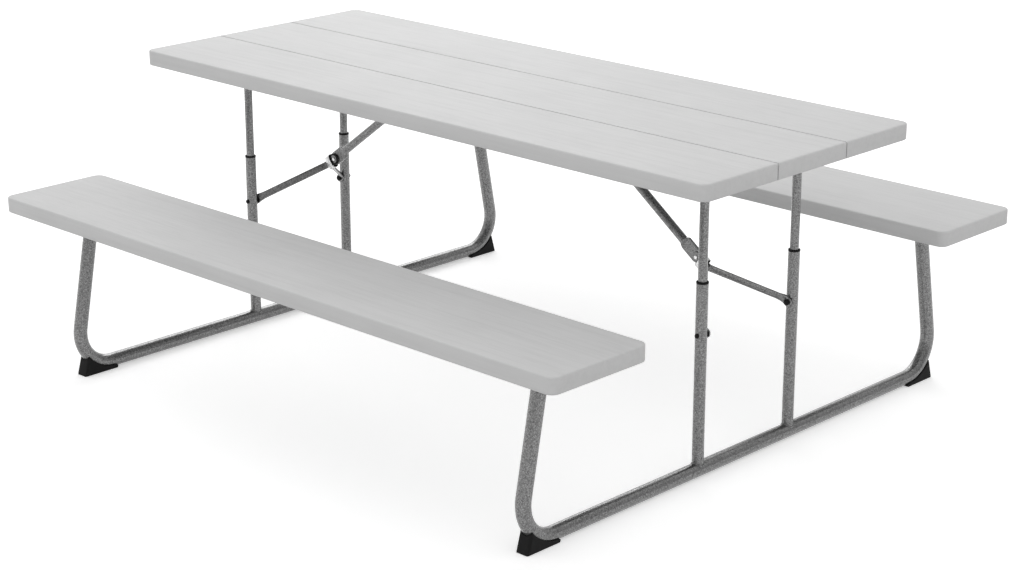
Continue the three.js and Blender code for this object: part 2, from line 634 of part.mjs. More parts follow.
// Both ends are the same: the left one is the right one turned half round
for (const [end, turn] of [['right', 0], ['left', Math.PI]]) {
  const endGroup = new THREE.Group();
  endGroup.rotation.z = turn;
  assembly.add(endGroup);
  const frame = new THREE.Group();
  frame.position.x = FRAME_X;
  endGroup.add(frame);
  addPart(frame, `base_tube_${end}`, 'frame', baseTube());
  addPart(frame, `pivot_tube_${end}`, 'frame', pivotTube());

  // The arms of the brace rise inwards from the uprights and meet the upper tube at the knee
  const braceTop = new THREE.Group();
  braceTop.position.set(-BRACE_RUN, 0, 0);
  frame.add(braceTop);
  addPart(braceTop, `brace_bracket_${end}`, 'zinc', geometryOf(braceBracket()));
  const upper = addPart(braceTop, `upper_brace_${end}`, 'frame', geometryOf(upperBrace()));
  upper.position.z = LEG_PIVOT_Z;
  upper.rotation.y = BRACE_ANGLE;
  const wishbone = new THREE.Group();
  wishbone.position.z = BRACE_BOLT_Z;
  wishbone.rotation.y = Math.PI + BRACE_ANGLE;
  frame.add(wishbone);

  for (const side of [-1, 1]) {
    const half = new THREE.Group();
    half.rotation.z = side > 0 ? 0 : Math.PI;
    frame.add(half);
    const arm = new THREE.Group();
    arm.rotation.x = side > 0 ? 0 : Math.PI;
    wishbone.add(arm);
    const place = `${end}_${side * Math.cos(turn) < 0 ? 'near' : 'far'}`;
    addPart(half, `foot_${place}`, 'plastic', geometryOf(foot()));
    addPart(half, `lower_upright_${place}`, 'frame', geometryOf(lowerUpright()));
    addPart(half, `upper_upright_${place}`, 'frame', geometryOf(upperUpright()));
    addPart(half, `slide_collar_${place}`, 'plastic', slideCollar());
    addPart(half, `arm_bolt_${place}`, 'plastic', armBolt());
    addPart(half, `cap_nut_${place}`, 'plastic', capNut());
    addPart(half, `bench_lug_${place}`, 'frame', geometryOf(benchLug()));
    addPart(frame, `bench_rail_${place}`, 'zinc', geometryOf(benchRail())).position.y = side * LEG_TOP_Y;
    addPart(frame, `pivot_clamp_${place}`, 'zinc', pivotClamp()).position.y = side * CLAMP_Y;
    addPart(arm, `wishbone_arm_${place}`, 'frame', geometryOf(wishboneArm()));
    addPart(arm, `knee_clip_${place}`, 'zinc', geometryOf(kneeClip()));
    addPart(arm, `knee_rivet_${place}`, 'zinc', kneeRivet());
  }
}

export default assembly;
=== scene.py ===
"""Looks of the folding table with benches: moulded planks, enamelled tubes, black feet and bright clips."""
import math

import bmesh
import bpy
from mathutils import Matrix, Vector
from mathutils.geometry import delaunay_2d_cdt


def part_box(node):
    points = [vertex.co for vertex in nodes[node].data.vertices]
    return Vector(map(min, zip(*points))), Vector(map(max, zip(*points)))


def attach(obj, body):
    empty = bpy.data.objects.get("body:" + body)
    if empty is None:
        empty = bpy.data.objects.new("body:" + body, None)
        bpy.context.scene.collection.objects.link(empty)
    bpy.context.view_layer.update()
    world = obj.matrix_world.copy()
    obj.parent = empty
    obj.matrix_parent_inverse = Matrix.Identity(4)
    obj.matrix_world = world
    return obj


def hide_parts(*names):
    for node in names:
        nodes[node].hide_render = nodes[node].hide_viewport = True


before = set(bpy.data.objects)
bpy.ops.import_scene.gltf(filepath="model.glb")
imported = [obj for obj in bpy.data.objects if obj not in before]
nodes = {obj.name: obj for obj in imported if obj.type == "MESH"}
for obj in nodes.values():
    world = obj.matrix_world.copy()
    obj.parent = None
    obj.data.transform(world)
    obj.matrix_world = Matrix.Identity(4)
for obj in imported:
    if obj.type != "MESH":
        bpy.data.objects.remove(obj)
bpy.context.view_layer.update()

MM = 0.001
ENDS = (("left", -1), ("right", 1))
SIDES = (("near", -1), ("far", 1))

# Moulded panels
PANEL_CORNER = 22 * MM
PANEL_EDGE = 3.5 * MM
ROW_PITCH = 2.7 * MM
COLUMN_PITCH = 11 * MM
CORNER_STEPS = 8
EDGE_STEPS = 4
GROOVE_HALF = 2.0 * MM
GROOVE_WALL = 0.25 * MM
GROOVE_DEPTH = 6.5 * MM
GROOVE_STEP = 0.05 * MM
GROOVE_FOOT = 0.85
PLANKS = 3
DENT_PITCH = 58 * MM
DENT_SIDES = 12
DENT_RINGS = ((17, 0), (15, 1.2), (11, 9), (8, 11))
DENT_MARGIN = 34 * MM
INSIDE_ONLY = 1
SAME_POINT = 1e-7
GRAIN_DEPTH = 0.1 * MM

# End frames, read off the solids where they show their sizes
base_low, base_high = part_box("base_tube_right")
post_low, post_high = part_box("lower_upright_right_far")
FRAME_X = (base_low.x + base_high.x) / 2
BASE_R = (base_high.x - base_low.x) / 2
BASE_Z = base_low.z + BASE_R
BEND_R = 87.5 * MM
BEND_STEPS = 24
LEG_TOP = (663.6 * MM, 361.44 * MM)
LEG_CORNER_Y = 730.49 * MM
UPRIGHT_Y = (post_low.y + post_high.y) / 2
LOWER_R = (post_high.x - post_low.x) / 2
COLLAR_HEIGHT = 4.2 * MM
COLLAR_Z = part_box("slide_collar_right_far")[1].z - COLLAR_HEIGHT
TUBE_SIDES = 48
TUBE_CREASE = 60


def node(tree, kind, inputs=None, **settings):
    """One node of a tree, with its settings, values and links."""
    made = tree.nodes.new(kind)
    for key, value in settings.items():
        setattr(made, key, value)
    for key, value in (inputs or {}).items():
        if isinstance(value, bpy.types.NodeSocket):
            tree.links.new(value, made.inputs[key])
        else:
            made.inputs[key].default_value = value
    return made


# Finishes
def blank_finish(name):
    """A new finish with its node tree, its skin and the place on the piece."""
    material = bpy.data.materials.new(name)
    material.use_nodes = True
    tree = material.node_tree
    skin = tree.nodes["Principled BSDF"]
    place = node(tree, "ShaderNodeTexCoord").outputs["Object"]
    return material, tree, skin, place


def stretched(tree, place, scale):
    """The place on the piece, drawn out more one way than another."""
    return node(tree, "ShaderNodeMapping", {"Vector": place, "Scale": scale}).outputs["Vector"]


def noise(tree, vector, scale, detail=2.0, roughness=0.5, distortion=0.0):
    """A cloudy pattern from 0 to 1."""
    made = node(tree, "ShaderNodeTexNoise", {
        "Vector": vector, "Scale": scale, "Detail": detail, "Roughness": roughness, "Distortion": distortion,
    })
    return made.outputs["Fac"]


def ramp(tree, factor, stops):
    """Greys set out along a pattern, as (place, grey) stops."""
    made = node(tree, "ShaderNodeValToRGB", {"Fac": factor})
    points = made.color_ramp.elements
    while len(points) < len(stops):
        points.new(0.5)
    for point, (place, grey) in zip(points, stops):
        point.position = place
        point.color = (grey, grey, grey, 1)
    return made.outputs["Color"]


def bumped(tree, skin, layers):
    """Bump layers of (height, strength, distance), one over the other."""
    normal = None
    for height, strength, distance in layers:
        inputs = {"Height": height, "Strength": strength, "Distance": distance}
        if normal is not None:
            inputs["Normal"] = normal
        normal = node(tree, "ShaderNodeBump", inputs).outputs["Normal"]
    tree.links.new(normal, skin.inputs["Normal"])


def moulded_plank():
    """Pale grey moulded plastic, with a fine wood grain on the faces that look up."""
    material, tree, skin, place = blank_finish("moulded_plank")
    facing = node(tree, "ShaderNodeTexCoord").outputs["Normal"]
    up = node(tree, "ShaderNodeSeparateXYZ", {0: facing}).outputs["Z"]
    upper = node(tree, "ShaderNodeMapRange", {"Value": up, "From Min": 0.8, "From Max": 0.97}).outputs[0]
    streaks = noise(tree, stretched(tree, place, (22, 520, 520)), 1, 3, 0.6)
    figure = noise(tree, stretched(tree, place, (3.4, 70, 70)), 1, 4, 0.55, 0.6)
    cloud = noise(tree, place, 5, 2, 0.5)
    pebble = noise(tree, place, 900, 2, 0.5)
    tint = ramp(tree, figure, ((0.3, 0.652), (0.52, 0.68), (0.75, 0.695)))
    shade = ramp(tree, streaks, ((0.3, 0.965), (0.5, 1.0)))
    drift = ramp(tree, cloud, ((0.35, 0.97), (0.65, 1.0)))
    both = node(tree, "ShaderNodeMix", {0: upper, 6: tint, 7: shade}, data_type="RGBA", blend_type="MULTIPLY")
    whole = node(tree, "ShaderNodeMix", {0: 1.0, 6: both.outputs[2], 7: drift}, data_type="RGBA",
                 blend_type="MULTIPLY")
    tree.links.new(whole.outputs[2], skin.inputs["Base Color"])
    tree.links.new(ramp(tree, streaks, ((0.25, 0.6), (0.75, 0.46))), skin.inputs["Roughness"])
    skin.inputs["Specular IOR Level"].default_value = 0.2
    grain_rise = node(tree, "ShaderNodeMath", {0: streaks, 1: upper}, operation="MULTIPLY").outputs[0]
    bumped(tree, skin, ((grain_rise, 0.22, 0.0004), (pebble, 0.1, 0.0002)))
    return material


def hammered_enamel():
    """Grey hammered paint: small pooled cells, paler between them."""
    material, tree, skin, place = blank_finish("hammered_enamel")
    wobble = node(tree, "ShaderNodeTexNoise", {"Vector": place, "Scale": 140.0, "Detail": 2.0})
    pushed = node(tree, "ShaderNodeVectorMath", {0: wobble.outputs["Color"], 1: (0.006, 0.006, 0.006)},
                  operation="MULTIPLY")
    warped = node(tree, "ShaderNodeVectorMath", {0: place, 1: pushed.outputs[0]}, operation="ADD")
    cells = node(tree, "ShaderNodeTexVoronoi", {
        "Vector": warped.outputs[0], "Scale": 290.0, "Smoothness": 0.6,
    }, feature="SMOOTH_F1")
    pools = cells.outputs["Distance"]
    speck = noise(tree, place, 340, 3, 0.7)
    tint = ramp(tree, pools, ((0.1, 0.242), (0.45, 0.188), (0.8, 0.12)))
    fleck = ramp(tree, speck, ((0.35, 0.52), (0.5, 1.0), (0.65, 1.42)))
    both = node(tree, "ShaderNodeMix", {0: 1.0, 6: tint, 7: fleck}, data_type="RGBA", blend_type="MULTIPLY")
    tree.links.new(both.outputs[2], skin.inputs["Base Color"])
    tree.links.new(ramp(tree, speck, ((0.3, 0.33), (0.7, 0.22))), skin.inputs["Roughness"])
    skin.inputs["Metallic"].default_value = 0.88
    skin.inputs["Coat Weight"].default_value = 0.5
    skin.inputs["Coat Roughness"].default_value = 0.1
    bumped(tree, skin, ((pools, 0.3, 0.0005), (speck, 0.2, 0.0003)))
    return material


def black_rubber():
    """Black moulded feet, collars and caps with a fine pebbled skin."""
    material, tree, skin, place = blank_finish("black_moulding")
    pebble = noise(tree, place, 1100, 2, 0.5)
    haze = noise(tree, place, 60, 3, 0.6)
    tree.links.new(ramp(tree, haze, ((0.3, 0.005), (0.7, 0.011))), skin.inputs["Base Color"])
    tree.links.new(ramp(tree, haze, ((0.3, 0.6), (0.7, 0.75))), skin.inputs["Roughness"])
    skin.inputs["Specular IOR Level"].default_value = 0.18
    bumped(tree, skin, ((pebble, 0.3, 0.0002),))
    return material


def bright_zinc():
    """Plated clips, rails and brackets, with faint spangle and rolling lines."""
    material, tree, skin, place = blank_finish("bright_zinc")
    spangle = node(tree, "ShaderNodeTexVoronoi", {"Vector": place, "Scale": 210.0}).outputs["Color"]
    rolled = noise(tree, stretched(tree, place, (40, 900, 900)), 1, 2, 0.5)
    tree.links.new(ramp(tree, spangle, ((0.2, 0.62), (0.8, 0.78))), skin.inputs["Base Color"])
    tree.links.new(ramp(tree, rolled, ((0.3, 0.24), (0.7, 0.4))), skin.inputs["Roughness"])
    skin.inputs["Metallic"].default_value = 1.0
    bumped(tree, skin, ((rolled, 0.1, 0.0002),))
    return material


def polished_rivet():
    """Polished rivet heads with fine turning marks."""
    material, tree, skin, place = blank_finish("polished_rivet")
    marks = noise(tree, place, 1500, 2, 0.5)
    tree.links.new(ramp(tree, marks, ((0.3, 0.84), (0.7, 0.93))), skin.inputs["Base Color"])
    tree.links.new(ramp(tree, marks, ((0.3, 0.3), (0.7, 0.42))), skin.inputs["Roughness"])
    skin.inputs["Metallic"].default_value = 1.0
    bumped(tree, skin, ((marks, 0.08, 0.0001),))
    return material


PLANK = moulded_plank()
ENAMEL = hammered_enamel()
BLACK = black_rubber()
ZINC = bright_zinc()
RIVET = polished_rivet()


# Pieces
def dressed(name, mesh, material, body, replaced=(), crease=35):
    """A finished piece: smooth skin, finish, the body that carries it and the solids that it stands for."""
    mesh.materials.clear()
    mesh.materials.append(material)
    mesh.shade_smooth()
    mesh.set_sharp_from_angle(angle=math.radians(crease))
    made = bpy.data.objects.new(name, mesh)
    bpy.context.scene.collection.objects.link(made)
    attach(made, body)
    if replaced:
        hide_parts(*replaced)


def meshed(shape, name):
    """The plain mesh of a worked shape, with its faces turned outwards."""
    mesh = bpy.data.meshes.new(name)
    bmesh.ops.recalc_face_normals(shape, faces=shape.faces)
    shape.to_mesh(mesh)
    shape.free()
    return mesh


def grown(mesh, tree, values, name):
    """The plain mesh that a node tree makes of a starting mesh."""
    seed = bpy.data.objects.new(name + "_seed", mesh)
    bpy.context.scene.collection.objects.link(seed)
    maker = seed.modifiers.new("maker", "NODES")
    maker.node_group = tree
    for socket in tree.interface.items_tree:
        if socket.in_out == "INPUT" and socket.name in values:
            maker[socket.identifier] = values[socket.name]
    seed.update_tag()
    evaluated = seed.evaluated_get(bpy.context.evaluated_depsgraph_get())
    result = bpy.data.meshes.new_from_object(evaluated)
    bpy.data.objects.remove(seed)
    return result


def new_tree(name, inputs):
    """A node tree with its named inputs."""
    tree = bpy.data.node_groups.new(name, "GeometryNodeTree")
    tree.interface.new_socket("Geometry", in_out="INPUT", socket_type="NodeSocketGeometry")
    for label, kind in inputs:
        tree.interface.new_socket(label, in_out="INPUT", socket_type="NodeSocket" + kind)
    tree.interface.new_socket("Geometry", in_out="OUTPUT", socket_type="NodeSocketGeometry")
    return tree, node(tree, "NodeGroupInput").outputs


def close_tree(tree, geometry, material):
    """Ends a node tree: real geometry, with its finish."""
    real = node(tree, "GeometryNodeRealizeInstances", {"Geometry": geometry})
    painted = node(tree, "GeometryNodeSetMaterial", {"Geometry": real.outputs[0], "Material": material})
    node(tree, "NodeGroupOutput", {"Geometry": painted.outputs[0]})


def embossed_grain():
    """Raises a wood grain on the faces that look up, along the planks."""
    tree, given = new_tree("embossed_grain", (("Depth", "Float"), ("Finish", "Material")))
    place = node(tree, "GeometryNodeInputPosition").outputs[0]
    facing = node(tree, "GeometryNodeInputNormal").outputs[0]
    up = node(tree, "ShaderNodeSeparateXYZ", {0: facing}).outputs["Z"]
    upper = node(tree, "ShaderNodeMapRange", {"Value": up, "From Min": 0.9, "From Max": 0.99}).outputs[0]
    long_way = node(tree, "ShaderNodeVectorMath", {0: place, 1: (12.0, 150.0, 150.0)}, operation="MULTIPLY")
    lines = node(tree, "ShaderNodeTexNoise", {
        "Vector": long_way.outputs[0], "Scale": 1.0, "Detail": 2.0, "Distortion": 0.4,
    }).outputs["Fac"]
    broad_way = node(tree, "ShaderNodeVectorMath", {0: place, 1: (3.4, 70.0, 70.0)}, operation="MULTIPLY")
    figure = node(tree, "ShaderNodeTexNoise", {
        "Vector": broad_way.outputs[0], "Scale": 1.0, "Detail": 4.0, "Roughness": 0.55, "Distortion": 0.6,
    }).outputs["Fac"]
    both = node(tree, "ShaderNodeMath", {0: lines, 1: figure}, operation="ADD").outputs[0]
    height = node(tree, "ShaderNodeMath", {0: both, 1: 1.3}, operation="SUBTRACT").outputs[0]
    kept = node(tree, "ShaderNodeMath", {0: height, 1: upper}, operation="MULTIPLY").outputs[0]
    rise = node(tree, "ShaderNodeMath", {0: kept, 1: given["Depth"]}, operation="MULTIPLY").outputs[0]
    offset = node(tree, "ShaderNodeCombineXYZ", {"Z": rise}).outputs[0]
    moved = node(tree, "GeometryNodeSetPosition", {"Geometry": given["Geometry"], "Offset": offset})
    close_tree(tree, moved.outputs[0], given["Finish"])
    return tree


def bent_tube():
    """A round tube along a line of points, with its corners bent to a radius."""
    tree, given = new_tree("bent_tube", (
        ("Radius", "Float"), ("Bend", "Float"), ("Bend Steps", "Int"), ("Sides", "Int"),
        ("Finish", "Material"),
    ))
    line = node(tree, "GeometryNodeMeshToCurve", {"Mesh": given["Geometry"]})
    bends = node(tree, "GeometryNodeFilletCurve", {
        "Curve": line.outputs[0], "Radius": given["Bend"], "Count": given["Bend Steps"],
    }, mode="POLY")
    ring = node(tree, "GeometryNodeCurvePrimitiveCircle", {
        "Radius": given["Radius"], "Resolution": given["Sides"],
    })
    tube = node(tree, "GeometryNodeCurveToMesh", {
        "Curve": bends.outputs[0], "Profile Curve": ring.outputs[0], "Fill Caps": True,
    })
    close_tree(tree, tube.outputs[0], given["Finish"])
    return tree


# Panels
def panel_rows(half_y, grooves):
    """Lines across a panel: (place, groove weight) on the straight part."""
    straight = half_y - PANEL_CORNER
    count = round(2 * straight / ROW_PITCH)
    regular = [-straight + 2 * straight * i / count for i in range(count + 1)]
    rows = [(y, 0.0) for y in regular if all(abs(y - g) > 2 * GROOVE_HALF for g in grooves)]
    for groove in grooves:
        for side in (-1, 1):
            wall = groove + side * GROOVE_HALF
            rows += [(wall, 0.0), (wall - side * GROOVE_WALL, GROOVE_FOOT)]
        rows.append((groove, 1.0))
    return sorted(rows)


def panel_shell(low, high, grooves, lands):
    """A moulded panel: rounded outline and edges, plank grooves that wrap over the ends, dents underneath."""
    middle = (low + high) / 2
    half_x = (high.x - low.x) / 2
    half_y = (high.y - low.y) / 2
    inner = PANEL_CORNER - PANEL_EDGE
    straight = half_y - PANEL_CORNER
    columns = round(2 * half_x / COLUMN_PITCH)
    turns = [math.pi / 2 * i / CORNER_STEPS for i in range(1, CORNER_STEPS + 1)]
    rows = [(-straight - inner * math.sin(t), 0.0, -t) for t in reversed(turns)]
    rows += [(y, weight, 0.0) for y, weight in panel_rows(half_y, grooves)]
    rows += [(straight + inner * math.sin(t), 0.0, t) for t in turns]
    shape = bmesh.new()
    grid = []
    for y, weight, turn in rows:
        reach = half_x - PANEL_CORNER + inner * math.cos(turn)
        line = []
        for i in range(columns + 1):
            span = reach if 0 < i < columns else reach - (GROOVE_DEPTH - PANEL_EDGE) * weight
            x = middle.x + span * (2 * i / columns - 1)
            line.append(shape.verts.new((x, middle.y + y, high.z - GROOVE_DEPTH * weight)))
        grid.append(line)
    last = len(rows) - 1
    for j in range(last):
        for i in range(columns):
            shape.faces.new((grid[j][i], grid[j][i + 1], grid[j + 1][i + 1], grid[j + 1][i]))
    rim = [(grid[0][i], Vector((0, -1, 0)), 0.0) for i in range(columns)]
    for j, (_, weight, turn) in enumerate(rows):
        rim.append((grid[j][columns], Vector((math.cos(turn), math.sin(turn), 0)), weight))
    rim += [(grid[last][i], Vector((0, 1, 0)), 0.0) for i in range(columns - 1, 0, -1)]
    for j, (_, weight, turn) in reversed(list(enumerate(rows))):
        if j > 0:
            rim.append((grid[j][0], Vector((-math.cos(turn), math.sin(turn), 0)), weight))
    rings = []
    for k in range(1, EDGE_STEPS + 1):
        turn = math.pi / 2 * k / EDGE_STEPS
        rings.append((math.sin(turn), high.z - PANEL_EDGE * (1 - math.cos(turn))))
    for k in range(EDGE_STEPS + 1):
        turn = math.pi / 2 * k / EDGE_STEPS
        rings.append((math.cos(turn), low.z + PANEL_EDGE * (1 - math.sin(turn))))
    above = [vert for vert, _, _ in rim]
    for step, (out, z) in enumerate(rings):
        ring = []
        for vert, outward, weight in rim:
            place = Vector((vert.co.x, vert.co.y, z)) + outward * (PANEL_EDGE * out)
            if weight:
                place = Vector((vert.co.x, vert.co.y, min(z, vert.co.z - GROOVE_STEP * (step + 1))))
            ring.append(shape.verts.new(place))
        for i in range(len(rim)):
            j = (i + 1) % len(rim)
            shape.faces.new((above[i], above[j], ring[j], ring[i]))
        above = ring
    underside(shape, above, low, high, lands)
    return meshed(shape, "panel")


def underside(shape, rim, low, high, lands):
    """Closes a panel below with rows of moulded dents, and flat lands where fittings are fixed."""
    points = [Vector((v.co.x, v.co.y)) for v in rim]
    heights = [low.z] * len(points)
    spans = [(b - a - 2 * DENT_MARGIN) for a, b in ((low.x, high.x), (low.y, high.y))]
    counts = [max(1, round(span / DENT_PITCH)) for span in spans]
    for i in range(counts[0] + 1):
        for j in range(counts[1] + 1):
            x = low.x + DENT_MARGIN + spans[0] * i / counts[0]
            y = low.y + DENT_MARGIN + spans[1] * j / counts[1]
            reach = DENT_RINGS[0][0] * MM
            if any(abs(x - lx) < w + reach and abs(y - ly) < h + reach for lx, ly, w, h in lands):
                continue
            for radius, depth in DENT_RINGS:
                for k in range(DENT_SIDES):
                    turn = 2 * math.pi * k / DENT_SIDES
                    ring_r = radius * MM
                    points.append(Vector((x + ring_r * math.cos(turn), y + ring_r * math.sin(turn))))
                    heights.append(low.z + depth * MM)
    loop = list(range(len(rim)))
    verts, _, faces, origin, _, _ = delaunay_2d_cdt(points, [], [loop], INSIDE_ONLY, SAME_POINT)
    made = []
    for place, source in zip(verts, origin):
        if source and source[0] < len(rim):
            made.append(rim[source[0]])
        else:
            made.append(shape.verts.new((place.x, place.y, heights[source[0]])))
    for face in faces:
        shape.faces.new([made[k] for k in reversed(face)])


def lands_of(names):
    """Flat places over the fittings, as (x, y, half length, half width)."""
    places = []
    for name in names:
        low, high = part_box(name)
        middle_x, middle_y = (low.x + high.x) / 2, (low.y + high.y) / 2
        places.append((middle_x, middle_y, (high.x - low.x) / 2, (high.y - low.y) / 2))
    return places


grain = embossed_grain()
low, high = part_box("table_top")
plank_width = (high.y - low.y) / PLANKS
groove_lines = [plank_width * line - (high.y - low.y) / 2 for line in range(1, PLANKS)]
fittings = [n for n in nodes if n.startswith(("pivot_clamp", "brace_bracket", "pivot_tube"))]
shell = panel_shell(low, high, groove_lines, lands_of(fittings))
shell = grown(shell, grain, {"Depth": GRAIN_DEPTH, "Finish": PLANK}, "top_planks")
dressed("top_planks", shell, PLANK, "table", ("table_top",))
for side, _ in SIDES:
    low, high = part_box(f"bench_{side}")
    fittings = [n for n in nodes if n.startswith("bench_rail") and n.endswith(side)]
    shell = panel_shell(low, high, [], lands_of(fittings))
    shell = grown(shell, grain, {"Depth": GRAIN_DEPTH, "Finish": PLANK}, f"seat_plank_{side}")
    dressed(f"seat_plank_{side}", shell, PLANK, f"seat_{side}", (f"bench_{side}",))

# End frames
tube = bent_tube()
for end, across in ENDS:
    line = bpy.data.meshes.new("bow_line")
    x = across * FRAME_X
    line.from_pydata([
        (x, -LEG_TOP[0], LEG_TOP[1]), (x, -LEG_CORNER_Y, BASE_Z),
        (x, LEG_CORNER_Y, BASE_Z), (x, LEG_TOP[0], LEG_TOP[1]),
    ], [(0, 1), (1, 2), (2, 3)], [])
    bow = grown(line, tube, {
        "Radius": BASE_R, "Bend": BEND_R, "Bend Steps": BEND_STEPS, "Sides": TUBE_SIDES, "Finish": ENAMEL,
    }, f"floor_bow_{end}")
    dressed(f"floor_bow_{end}", bow, ENAMEL, f"end_frame_{end}", (f"base_tube_{end}",),
            TUBE_CREASE)

# Brace, fasteners, collars, feet and welds
bolt_low, bolt_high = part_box("arm_bolt_right_far")
pivot_low, pivot_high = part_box("pivot_tube_right")
knee_low, knee_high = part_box("knee_rivet_right_far")
BOLT_Z = (bolt_low.z + bolt_high.z) / 2
PIVOT_Z = (pivot_low.z + pivot_high.z) / 2
KNEE_X = (knee_low.x + knee_high.x) / 2
KNEE_Z = (knee_low.z + knee_high.z) / 2
ARM_LENGTH = math.hypot(FRAME_X - KNEE_X, KNEE_Z - BOLT_Z)
BRACE_SIN = (KNEE_Z - BOLT_Z) / ARM_LENGTH
BRACE_COS = (FRAME_X - KNEE_X) / ARM_LENGTH
BRACE_LENGTH = (PIVOT_Z - KNEE_Z) / BRACE_SIN
BRACE_TOP_X = KNEE_X - BRACE_LENGTH * BRACE_COS
BRACE_R = 10.2 * MM
BLADE_HALF = 17 * MM
BLADE_THICK = 3 * MM
BLADE_LENGTH = 40 * MM
BLADE_TIP_BACK = 4 * MM
BLADE_TIP_TURNS = (12, 24, 36, 48, 60, 70, 79)
SHOULDER = 11 * MM
BRACE_HEAD = 10 * MM
BRACE_HEAD_RIM = 1 * MM
ARM_R = 9 * MM
ARM_THICK = 2.8 * MM
ARM_MIDWAY = 100 * MM
ARM_STEP = 0.2 * MM
ARM_EYE_R = 11 * MM
ARM_EYE_Y = 143.6 * MM
ARM_EYE_END = 6 * MM
ARM_EYE_THICK = 2.5 * MM
ARM_SWELL = (5 * MM, 24 * MM)
ARM_FIRST = (20 * MM, 133.5 * MM)
ARM_LAST = (ARM_LENGTH - 43 * MM, 13.5 * MM)
KNEE_EYE_R = 12.5 * MM
PAD_Y = 4.8 * MM
PAD_PRESS = 47 * MM
PAD_START = 31 * MM
PAD_HALF = 9 * MM
PAD_THICK = 1.5 * MM
RIVET_Y = 6.4 * MM
NUT_Y = 140.8 * MM
# Seat of a thin black disc of painted shade on the outer face of each arm eye
EYE_SHADE_DISC_Y = 146.15 * MM
SECTION_SIDES = 32
BAND_SQUARENESS = 3
FOOT_CELL = 1.3 * MM
FOOT_SOFTENING = 7
FOOT_CREASE = 60
MERGE_DISTANCE = 0.01 * MM


def arm_point(across, side, u, y, w):
    """A place on a wishbone arm: u along it from its bolt, y out from the middle, w across it."""
    return Vector((
        across * (FRAME_X - u * BRACE_COS - w * BRACE_SIN), side * y, BOLT_Z + u * BRACE_SIN - w * BRACE_COS,
    ))


def brace_point(across, u, y, w):
    """A place on an upper brace: u along it from its top pin, y across the table, w across the brace."""
    return Vector((
        across * (BRACE_TOP_X + u * BRACE_COS + w * BRACE_SIN), y, PIVOT_Z - u * BRACE_SIN + w * BRACE_COS,
    ))


def eased(value, start, end):
    """Goes smoothly from 0 to 1 between a start and an end."""
    share = min(1.0, max(0.0, (value - start) / (end - start)))
    return share * share * (3 - 2 * share)


def oval(half_wide, half_thick, squareness):
    """Points of a section that goes from round to flat as its squareness grows."""
    points = []
    for k in range(SECTION_SIDES):
        turn = 2 * math.pi * (k + 0.5) / SECTION_SIDES
        c, s = math.cos(turn), math.sin(turn)
        points.append((
            half_wide * math.copysign(abs(c) ** (2 / squareness), c),
            half_thick * math.copysign(abs(s) ** (2 / squareness), s),
        ))
    return points


def loft(shape, sections, hollow=False):
    """Skins a row of closed sections. Closes both ends, or joins them if the form is hollow."""
    rings = [[shape.verts.new(place) for place in section] for section in sections]
    pairs = zip(rings, rings[1:] + rings[:1]) if hollow else zip(rings, rings[1:])
    for a, b in pairs:
        for k in range(len(a)):
            j = (k + 1) % len(a)
            shape.faces.new((a[k], a[j], b[j], b[k]))
    for ring in () if hollow else (rings[0], rings[-1]):
        middle = shape.verts.new(sum((v.co for v in ring), Vector()) / len(ring))
        for k in range(len(ring)):
            shape.faces.new((ring[k], ring[(k + 1) % len(ring)], middle))


def spun(shape, profile, place, along, sides):
    """A turned form: (radius, height) pairs about an axis from place, hollow if its ends are the same."""
    turn = along.to_track_quat("Z", "Y")
    hollow = profile[0] == profile[-1]
    round_ways = [2 * math.pi * k / sides for k in range(sides)]
    rings = []
    for radius, height in profile[:-1] if hollow else profile:
        rings.append([
            place + turn @ Vector((radius * math.cos(way), radius * math.sin(way), height))
            for way in round_ways
        ])
    loft(shape, rings, hollow)


def upper_brace(across):
    """Round tube from the table bracket, pressed flat to a blade at the knee."""
    blade = BRACE_LENGTH - BLADE_LENGTH
    tip = BRACE_LENGTH - BLADE_TIP_BACK
    stations = [(-BRACE_HEAD, 0.9), (BRACE_HEAD_RIM - BRACE_HEAD, 1.0)]
    stations += [((blade - SHOULDER) * k / 6, 1.0) for k in range(7)]
    stations += [(blade - SHOULDER + SHOULDER * k / 10, 1.0) for k in range(1, 11)]
    stations += [(blade + (tip - blade) * k / 4, 1.0) for k in range(1, 5)]
    for turn in map(math.radians, BLADE_TIP_TURNS):
        stations.append((tip + BLADE_HALF * math.sin(turn), math.cos(turn)))
    shape = bmesh.new()
    sections = []
    for u, shrink in stations:
        flat = eased(u, blade - SHOULDER, blade)
        wide = (BRACE_R + (BLADE_HALF - BRACE_R) * flat) * shrink
        thick = BRACE_R + (BLADE_THICK - BRACE_R) * flat
        thick *= shrink if u < 0 else 1
        sections.append([brace_point(across, u, y, w) for w, y in oval(wide, thick, 2 + 5 * flat)])
    loft(shape, sections)
    return meshed(shape, "upper_brace")


def arm_line(u):
    """How far a wishbone arm stands out from the middle, along its length."""
    slope = (ARM_LAST[1] - ARM_FIRST[1]) / (ARM_LAST[0] - ARM_FIRST[0])
    marks = (
        (ARM_EYE_END, ARM_EYE_Y, 0.0), (*ARM_FIRST, slope), (*ARM_LAST, slope),
        (ARM_LENGTH - PAD_START, PAD_Y, 0.0),
    )
    if u <= ARM_EYE_END:
        return ARM_EYE_Y
    for (u0, y0, m0), (u1, y1, m1) in zip(marks, marks[1:]):
        if u <= u1:
            span = u1 - u0
            t = (u - u0) / span
            return ((2 * t ** 3 - 3 * t ** 2 + 1) * y0 + (t ** 3 - 2 * t ** 2 + t) * span * m0
                    + (3 * t ** 2 - 2 * t ** 3) * y1 + (t ** 3 - t ** 2) * span * m1)
    return PAD_Y


